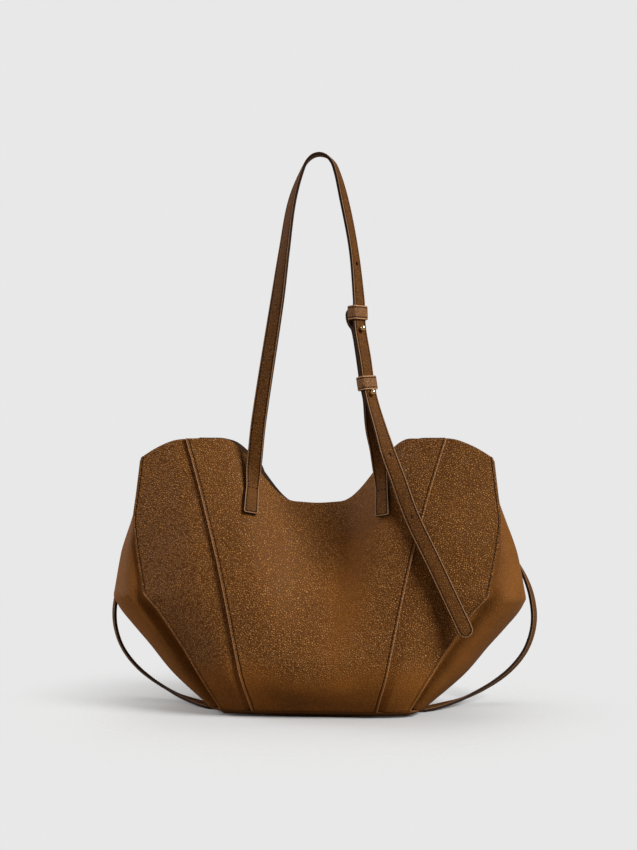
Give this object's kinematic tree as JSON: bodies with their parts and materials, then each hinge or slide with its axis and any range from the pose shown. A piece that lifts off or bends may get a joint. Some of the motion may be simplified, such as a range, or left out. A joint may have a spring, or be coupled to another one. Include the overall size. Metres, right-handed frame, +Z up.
{
  "type": "shopper bag",
  "caption": "Soft leather shopper bag with flaring ends, an adjustable strap standing up in a hoop and a plain strap hanging behind and running under the base.",
  "frame": {"origin": "on the floor plane, on the flat underside of the base, at the middle of the bag", "axes": "+Z up, -Y out of the front face that carries the standing strap, +X to the right seen from the front"},
  "size_m": [0.4438, 0.1534, 0.5473],
  "materials": {
    "front_centre_leather": "pebbled, soft sheen",
    "back_centre_leather": "pebbled, soft sheen",
    "front_wing_right_leather": "pebbled, soft sheen",
    "front_wing_left_leather": "pebbled, soft sheen",
    "back_wing_right_leather": "pebbled, soft sheen",
    "back_wing_left_leather": "pebbled, soft sheen",
    "gusset_right_leather": "smooth, soft sheen",
    "gusset_left_leather": "smooth, soft sheen",
    "base_leather": "smooth, matt",
    "front_strap_leather": "grained, stitched edges",
    "stub_leather": "grained, stitched edges",
    "back_strap_leather": "grained, stitched edges",
    "keeper_lower_leather": "smooth, stitched rims",
    "keeper_upper_leather": "smooth, stitched rims",
    "stud_lower_brass": "polished",
    "stud_upper_brass": "polished"
  },
  "bodies": {
    "root": {"front_centre_panel": "front_centre_leather", "back_centre_panel": "back_centre_leather", "front_wing_right": "front_wing_right_leather", "front_wing_left": "front_wing_left_leather", "back_wing_right": "back_wing_right_leather", "back_wing_left": "back_wing_left_leather", "gusset_right": "gusset_right_leather", "gusset_left": "gusset_left_leather", "base_panel": "base_leather", "front_strap": "front_strap_leather", "strap_stub": "stub_leather", "back_strap": "back_strap_leather", "keeper_lower": "keeper_lower_leather", "keeper_upper": "keeper_upper_leather", "stud_lower": "stud_lower_brass", "stud_upper": "stud_upper_brass"}
  },
  "joints": []
}
